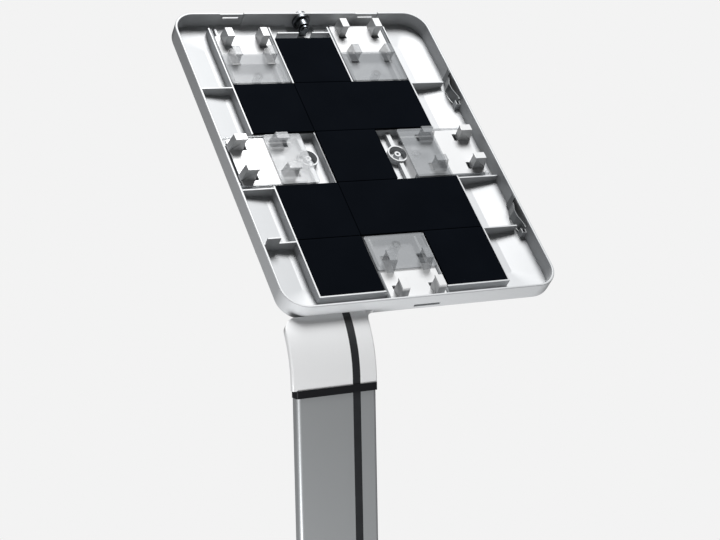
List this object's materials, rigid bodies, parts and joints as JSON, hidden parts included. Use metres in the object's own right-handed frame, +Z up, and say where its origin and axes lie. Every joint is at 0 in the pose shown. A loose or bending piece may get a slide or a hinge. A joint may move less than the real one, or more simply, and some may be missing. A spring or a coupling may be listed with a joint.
{
  "type": "tablet floor stand",
  "caption": "Floor stand with an open reclined holder tray: foam pads, two-part sliding hook clips, cam lock, bent neck, flat pole with a dark inlay and a flat base plate.",
  "frame": {"origin": "centre of the underside of the base, on the floor", "axes": "+Z up; the stand faces -Y, so the user stands on the -Y side; +X is the user's right"},
  "size_m": [0.4, 0.34, 1.1508],
  "materials": {
    "shell_white": "satin silver-white",
    "aluminium_light": "satin",
    "aluminium_grey": "satin anodised",
    "black_strip": "matt",
    "black_plastic": "satin",
    "foam": "matt foam",
    "clear_clip": "clear",
    "white_clip": "satin white",
    "steel": "zinc plated",
    "steel_painted": "satin powder coat",
    "lock_metal": "dark nickel",
    "spring_plastic": "satin grey",
    "rubber": "matt"
  },
  "bodies": {
    "stand": {"base_plate": "steel_painted", "base_screws": "steel", "foot_flange": "steel_painted", "foot_set_screws": "steel", "joint_band": "black_plastic", "lock_barrel": "lock_metal", "lock_nut": "lock_metal", "neck": "aluminium_light", "neck_set_screws": "steel", "neck_shoulder": "shell_white", "neck_strip": "black_strip", "pad_row1_centre": "foam", "pad_row2_left": "foam", "pad_row2_wide": "foam", "pad_row3_centre": "foam", "pad_row4_left": "foam", "pad_row4_wide": "foam", "pad_row5_left": "foam", "pad_row5_right": "foam", "pole": "aluminium_grey", "pole_strip": "black_strip", "rear_shell": "shell_white", "rubber_feet": "rubber", "tray_screws": "steel"},
    "clip_top_left": {"clip_top_left": "clear_clip"},
    "clip_top_right": {"clip_top_right": "clear_clip"},
    "clip_middle_left": {"clip_middle_left": "clear_clip"},
    "clip_middle_right": {"clip_middle_right": "clear_clip"},
    "clip_bottom": {"clip_bottom": "clear_clip"},
    "slide_top_left": {"slide_top_left": "white_clip"},
    "slide_top_right": {"slide_top_right": "white_clip"},
    "slide_middle_left": {"slide_middle_left": "white_clip"},
    "slide_middle_right": {"slide_middle_right": "white_clip"},
    "slide_bottom": {"slide_bottom": "white_clip"},
    "lock_cam": {"lock_cam": "lock_metal"},
    "latch_upper": {"latch_upper": "spring_plastic"},
    "latch_lower": {"latch_lower": "spring_plastic"}
  },
  "joints": [
    {"name": "clip_top_left_shift", "type": "slide", "parent": "stand", "child": "clip_top_left", "axis": [0, 0.7071, 0.7071], "range_m": [-0.0003, 0.0015]},
    {"name": "slide_top_left_travel", "type": "slide", "parent": "clip_top_left", "child": "slide_top_left", "axis": [0, 0.7071, 0.7071], "range_m": [-0.009, 0.01]},
    {"name": "clip_top_right_shift", "type": "slide", "parent": "stand", "child": "clip_top_right", "axis": [0, 0.7071, 0.7071], "range_m": [-0.0003, 0.0015]},
    {"name": "slide_top_right_travel", "type": "slide", "parent": "clip_top_right", "child": "slide_top_right", "axis": [0, 0.7071, 0.7071], "range_m": [-0.02, 0.0025]},
    {"name": "clip_bottom_shift", "type": "slide", "parent": "stand", "child": "clip_bottom", "axis": [0, -0.7071, -0.7071], "range_m": [-0.0003, 0.0004]},
    {"name": "slide_bottom_travel", "type": "slide", "parent": "clip_bottom", "child": "slide_bottom", "axis": [0, -0.7071, -0.7071], "range_m": [-0.016, 0.0006]},
    {"name": "clip_middle_left_shift", "type": "slide", "parent": "stand", "child": "clip_middle_left", "axis": [-1, 0, 0], "range_m": [-0.006, 0.0015]},
    {"name": "slide_middle_left_travel", "type": "slide", "parent": "clip_middle_left", "child": "slide_middle_left", "axis": [-1, 0, 0], "range_m": [-0.019, 0.0045]},
    {"name": "clip_middle_right_shift", "type": "slide", "parent": "stand", "child": "clip_middle_right", "axis": [1, 0, 0], "range_m": [-0.006, 0.0015]},
    {"name": "slide_middle_right_travel", "type": "slide", "parent": "clip_middle_right", "child": "slide_middle_right", "axis": [1, 0, 0], "range_m": [-0.02, 0.0045]},
    {"name": "lock_cam_turn", "type": "hinge", "parent": "stand", "child": "lock_cam", "pos_m": [0.0015, 0.11469, 1.13366], "axis": [0, 0.7071, 0.7071], "range_deg": [0, 90]},
    {"name": "latch_upper_flex", "type": "hinge", "parent": "stand", "child": "latch_upper", "pos_m": [0.1253, 0.04455, 1.06465], "axis": [0, -0.7071, 0.7071], "range_deg": [0, 4], "stiffness_Nm_per_rad": 0.15},
    {"name": "latch_lower_flex", "type": "hinge", "parent": "stand", "child": "latch_lower", "pos_m": [0.1253, -0.06647, 0.95363], "axis": [0, -0.7071, 0.7071], "range_deg": [0, 4], "stiffness_Nm_per_rad": 0.15}
  ]
}
